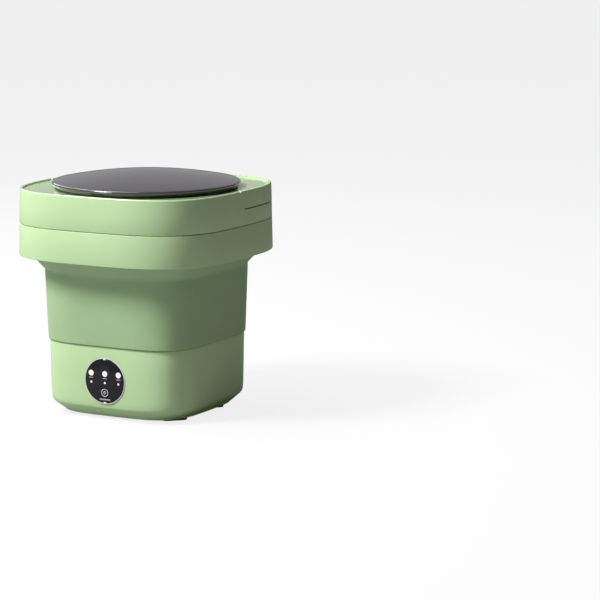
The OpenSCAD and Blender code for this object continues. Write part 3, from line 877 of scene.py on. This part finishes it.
class WASHER_OT_panel(bpy.types.Operator):
    """Model the round control panel, its lights and its power button"""

    bl_idname = "washer.panel"
    bl_label = "Control panel"

    def execute(self, context):
        sizes = context.scene.washer_sizes
        radius = sizes.panel_r / MM
        self.front_y, self.centre_z = low("panel_fascia").y, middle("panel_fascia").z
        self.button = middle("power_button")
        self.icon_x = high("indicator_lenses").x - LENS_R * MM
        self.fascia(radius)
        self.bezel(radius)
        self.lights()
        self.marks()
        self.power_key()
        return {"FINISHED"}

    def front(self, piece, x=0, z=0, proud=0):
        """Stands a flat piece, drawn face up, on the panel's face."""
        return place(piece, (x, self.front_y - proud, self.centre_z + z), (pi / 2, 0, 0))

    def disc(self, name, radius, thick, edge, sides=96, hole=0):
        """A flat disc, face up at z = 0, with a softened edge."""
        if hole:
            disc = turned(name, in_mm([(radius, 0), (hole, 0), (hole, -thick),
                                       (radius, -thick)]), sides)
        else:
            disc = turned(name, in_mm([(radius, -thick), (radius, 0), (0, 0)]), sides)
            close_end(disc)
        return soften(disc, edge * MM, 2, 50)

    def fascia(self, radius):
        fascia = self.front(self.disc("panel_glass", radius, 2, 0.25, 160))
        holes = [(0, self.button.z - self.centre_z, 5.9)]
        for x in (-self.icon_x, 0, self.icon_x):
            holes += [(x, ICON_Z * MM, 3.65), (x, DOT_Z * MM, 1.45)]
        for x, z, hole in holes:
            height = self.centre_z + z
            combine(fascia, rod("hole", hole * MM, (x, self.front_y - 0.01, height),
                                (x, self.front_y + 0.01, height)), "DIFFERENCE")
        hand_in(smooth(fascia), "base", "panel_black", "panel_fascia")

    def bezel(self, radius):
        ring = self.disc("panel_ring", radius + 0.75, 2.2, 0.2, 160, radius + 0.1)
        for side in (-1, 1):
            key = block("key", (-2.1 * MM, side * (radius - 1.7) * MM, -0.6 * MM),
                        (2.1 * MM, side * (radius + 0.4) * MM, -0.05 * MM))
            ring = join([ring, soften(key, 0.3 * MM, 2)])
        hand_in(smooth(self.front(ring, proud=0.25 * MM)), "base", "bezel_pale", "panel_bezel")

    def lights(self):
        lights = []
        for x in (-self.icon_x, 0, self.icon_x):
            lights.append(self.front(self.disc("light_windows", 3.6, 2.6, 0.3, 48),
                                     x, ICON_Z * MM, 0.12 * MM))
            lights.append(self.front(self.disc("dot", 1.4, 2.6, 0.3, 32),
                                     x, DOT_Z * MM, 0.15 * MM))
        hand_in(smooth(join(lights)), "base", "panel_white", "indicator_lenses")

    def bar(self, name, width, height, x, z, proud=0.05, turn=0):
        """A printed bar, standing a hair proud of the panel."""
        bar = block(name, (-width * MM / 2, -height * MM / 2, -0.15 * MM),
                    (width * MM / 2, height * MM / 2, 0))
        place(bar, turn=(0, 0, radians(turn)))
        return self.front(soften(bar, 0.04 * MM, 1), x * MM, z * MM, proud * MM)

    def marks(self):
        icon = self.icon_x / MM
        pale = [self.bar("panel_marks", 15.5, 1.5, 0, LOWER_BAR_Z)]
        dark = []
        for x in (-icon, 0, icon):
            pale.append(self.bar("label", 6, 1, x, LABEL_Z))
            dark.append(self.bar("icon_hands", 0.7, 2.4, x, 9.6, 0.2))
            dark.append(self.bar("hand", 0.7, 2.0, x + 0.6, 8.6, 0.2, 60))
        hand_in(join(pale), "base", "bezel_pale", finish="label")
        hand_in(join(dark), "base", "panel_black", finish="label")

    def power_key(self):
        z = (self.button.z - self.centre_z) / MM
        key = self.front(self.disc("power_key", 5.5, 2.6, 0.35, 64), 0, z * MM, 0.4 * MM)
        flange = self.front(self.disc("flange", 7.4, 0.9, 0.1, 48), 0, z * MM, -2.35 * MM)
        stem = rod("stem", 2.4 * MM, (0, self.front_y + 3 * MM, self.button.z),
                   (0, high("power_button").y, self.button.z), 32)
        hand_in(smooth(join([key, flange, stem])), "power_button", "panel_black", "power_button")
        ring = self.front(self.disc("key_ring", 5.0, 0.2, 0.05, 64, 4.3), 0, z * MM, 0.48 * MM)
        mark = self.front(self.disc("glyph", 1.9, 0.2, 0.05, 40, 1.35), 0, z * MM, 0.48 * MM)
        stroke = self.bar("stroke", 0.6, 2.0, 0, z + 1.2, 0.5)
        hand_in(join([ring, mark, stroke]), "power_button", "bezel_pale")


class WASHER_OT_tub(bpy.types.Operator):
    """Model the wash tub and the impeller"""

    bl_idname = "washer.tub"
    bl_label = "Tub and impeller"

    def execute(self, context):
        self.tub()
        self.impeller()
        return {"FINISHED"}

    def tub(self):
        square = bpy.context.scene.washer_sizes.base_square
        top = high("wash_tub").z / MM
        floor = high("impeller").z / MM - 19
        tub = turned("tub_bowl", in_mm([
            (9, floor - 2.5), (80, floor - 2.5), (99, floor - 2.4), (100.2, floor + 1),
            (100.2, top - 3), (103.8, top - 3), (103.8, top), (97.7, top), (97.7, floor + 9),
            (96.6, floor + 4.5), (93.5, floor + 1.3), (88, floor), (9, floor)]))
        square_off(tub, lambda r, z: 2 + (square - 2) * min(1, max(0, (r / MM - 30) / 50)))
        soften(tub, 0.6 * MM, 2, 40)
        drain_y = 0.072
        drain = rod("drain", 5.5 * MM, (0, drain_y, 0.05), (0, drain_y, 0.08))
        combine(tub, drain, "DIFFERENCE")
        lower = high("motor_mount").z
        places = [(x, y) for x in (0.04, -0.076) for y in (-0.02, 0.02)]
        posts = [rod("post", 4 * MM, (x, y, lower), (x, y, (floor - 2) * MM), 32)
                 for x, y in places]
        hand_in(smooth(join([tub] + posts)), "base", "tub_plastic", "wash_tub")

    def impeller(self):
        low_z, high_z = low("impeller").z / MM, high("impeller").z / MM
        disc = turned("impeller_disc", in_mm([
            (4.1, low_z + 0.1), (14, low_z + 0.1), (15, low_z + 1.6), (72, low_z + 1.6),
            (73.6, low_z + 2.4), (74, low_z + 3.6), (73.2, low_z + 4.8), (70, low_z + 5.1),
            (40, low_z + 5.6), (20, low_z + 8.5), (13.5, high_z - 3), (11.5, high_z),
            (4.1, high_z)]), 160)
        soften(disc, 0.5 * MM, 2, 40)
        vanes, vane_count = [], 6
        for turn in range(vane_count):
            bpy.ops.object.select_all(action="DESELECT")
            bpy.ops.mesh.primitive_uv_sphere_add(segments=40, ring_count=20, radius=1)
            vane = bpy.context.object
            vane.name = "vane"
            for vertex in vane.data.vertices:
                along = vertex.co.x
                out, width, height = 43 + 27 * along, 6.4 + 2.6 * along, 8.6 - 1.6 * along
                bend = 5.5 * (1 - along * along)
                vertex.co = (out * MM, (width * vertex.co.y + bend) * MM,
                             (low_z + 3.6 + height * vertex.co.z) * MM)
            cut = block("cut", (-0.1, -0.1, 0.04), (0.1, 0.1, (low_z + 3.8) * MM))
            combine(vane, cut, "DIFFERENCE")
            vanes.append(place(vane, turn=(0, 0, radians(360 / vane_count * turn))))
        impeller = join([disc] + vanes)
        hand_in(smooth(impeller), "impeller", "tub_plastic", "impeller")


class WASHER_OT_outlets(bpy.types.Operator):
    """Model the drain's rubber plug"""

    bl_idname = "washer.outlets"
    bl_label = "Drain plug"

    def execute(self, context):
        axis_z = spout_axis_z()
        start, stop = low("drain_plug").y / MM, high("drain_plug").y / MM
        body = turned("drain_stopper", in_mm([
            (5.42, start), (5.42, start + 10.2), (7.0, start + 10.3), (7.4, start + 10.9),
            (7.4, start + 12.2), (6.8, start + 13), (0, start + 13)]), 64)
        close_end(body)
        soften(body, 0.3 * MM, 2, 50)
        place(body, (0, 0, axis_z), (-pi / 2, 0, 0))
        tab = block("tab", (-1.5 * MM, (start + 12.8) * MM, axis_z - 5 * MM),
                    (1.5 * MM, stop * MM, axis_z + 5 * MM))
        soften(tab, 1.2 * MM, 3)
        hand_in(smooth(join([body, tab])), "drain_plug", "dark_rubber", "drain_plug")
        return {"FINISHED"}


class WASHER_OT_stage(bpy.types.Operator):
    """Set the floor, the lights, the background and the camera"""

    bl_idname = "washer.stage"
    bl_label = "Stage"

    def execute(self, context):
        self.floor()
        self.light("key_light", (-0.9, -1.28, 1.83), (0, 0, 0.15), 0.6, 0.6, 61)
        self.light("back_light", (-1.2, 0.85, 1.45), (0, 0, 0.28), 0.35, 1.8, 8)
        self.light("left_strip", (-1.37, -0.37, 1.96), (0, 0, 0.28), 1.9, 0.15, 7)
        self.light("top_light", (-0.5, -0.2, 2.4), (0, 0, 0.28), 1.5, 0.7, 11)
        self.sky()
        self.camera()
        context.scene.view_settings.view_transform = "Standard"
        return {"FINISHED"}

    def floor(self):
        bpy.ops.object.select_all(action="DESELECT")
        bpy.ops.mesh.primitive_plane_add(size=30)
        floor = bpy.context.object
        floor.name = "studio_floor"
        floor.data.materials.append(pale_floor("studio_floor",
                                               bpy.context.scene.washer_colours.floor))

    def light(self, name, where, aim, width, height, power):
        bpy.ops.object.light_add(type="AREA", location=where)
        lamp = bpy.context.object
        lamp.name = name
        lamp.data.shape = "RECTANGLE"
        lamp.data.size, lamp.data.size_y = width, height
        lamp.data.energy = power
        lamp.rotation_euler = (Vector(aim) - Vector(where)).to_track_quat("-Z", "Y").to_euler()

    def sky(self):
        """White to look at; softer as a light, brighter on the left than on the right."""
        world = bpy.data.worlds.new("studio")
        bpy.context.scene.world = world
        world.use_nodes = True
        tree = world.node_tree
        tree.nodes.clear()
        where = tree.nodes.new("ShaderNodeTexCoord")
        axes = tree.nodes.new("ShaderNodeSeparateXYZ")
        seen = tree.nodes.new("ShaderNodeBackground")
        lighting = tree.nodes.new("ShaderNodeBackground")
        path = tree.nodes.new("ShaderNodeLightPath")
        mix = tree.nodes.new("ShaderNodeMixShader")
        out = tree.nodes.new("ShaderNodeOutputWorld")
        seen.inputs["Color"].default_value = (1, 1, 1, 1)
        seen.inputs["Strength"].default_value = 1.0
        tree.links.new(where.outputs["Generated"], axes.inputs["Vector"])
        tree.links.new(spread(tree, axes.outputs["X"], 0.5, 0.12, -1, 1),
                       lighting.inputs["Strength"])
        tree.links.new(path.outputs["Is Camera Ray"], mix.inputs["Fac"])
        tree.links.new(lighting.outputs["Background"], mix.inputs[1])
        tree.links.new(seen.outputs["Background"], mix.inputs[2])
        tree.links.new(mix.outputs["Shader"], out.inputs["Surface"])

    def camera(self):
        azimuth, elevation = radians(28.17), radians(9.7)
        back = Vector((sin(azimuth) * cos(elevation), -cos(azimuth) * cos(elevation),
                       sin(elevation)))
        aim = Vector((0.1616, 0.1123, 0.1348))
        distance = 3.5252
        bpy.ops.object.camera_add(location=aim + distance * back)
        camera = bpy.context.object
        camera.rotation_euler = back.to_track_quat("Z", "Y").to_euler()
        camera.data.lens = 163.84
        camera.data.sensor_width = 36
        camera.data.clip_end = 60
        bpy.context.scene.camera = camera


class WASHER_PT_panel(bpy.types.Panel):
    """The washer's pieces, in building order"""

    bl_label = "Folding mini washer"
    bl_idname = "WASHER_PT_panel"
    bl_space_type = "VIEW_3D"
    bl_region_type = "UI"
    bl_category = "Washer"

    def draw(self, context):
        for group in (context.scene.washer_sizes, context.scene.washer_colours):
            for name in group.__annotations__:
                self.layout.prop(group, name)
        for operator in PIECES:
            self.layout.operator(operator.bl_idname)


PIECES = (WASHER_OT_stage, WASHER_OT_finishes, WASHER_OT_base, WASHER_OT_sleeve, WASHER_OT_head,
          WASHER_OT_handle, WASHER_OT_lid, WASHER_OT_panel, WASHER_OT_tub, WASHER_OT_outlets)
CLASSES = (WasherSizes, WasherColours, *PIECES, WASHER_PT_panel)


def register():
    for each in CLASSES:
        bpy.utils.register_class(each)
    bpy.types.Scene.washer_sizes = PointerProperty(type=WasherSizes)
    bpy.types.Scene.washer_colours = PointerProperty(type=WasherColours)


def unregister():
    del bpy.types.Scene.washer_colours
    del bpy.types.Scene.washer_sizes
    for each in reversed(CLASSES):
        bpy.utils.unregister_class(each)


def main():
    register()
    bpy.ops.washer.stage()
    bpy.ops.washer.finishes()
    bpy.ops.washer.base()
    bpy.ops.washer.sleeve()
    bpy.ops.washer.head()
    bpy.ops.washer.handle()
    bpy.ops.washer.lid()
    bpy.ops.washer.panel()
    bpy.ops.washer.tub()
    bpy.ops.washer.outlets()


if __name__ == "__main__":
    main()
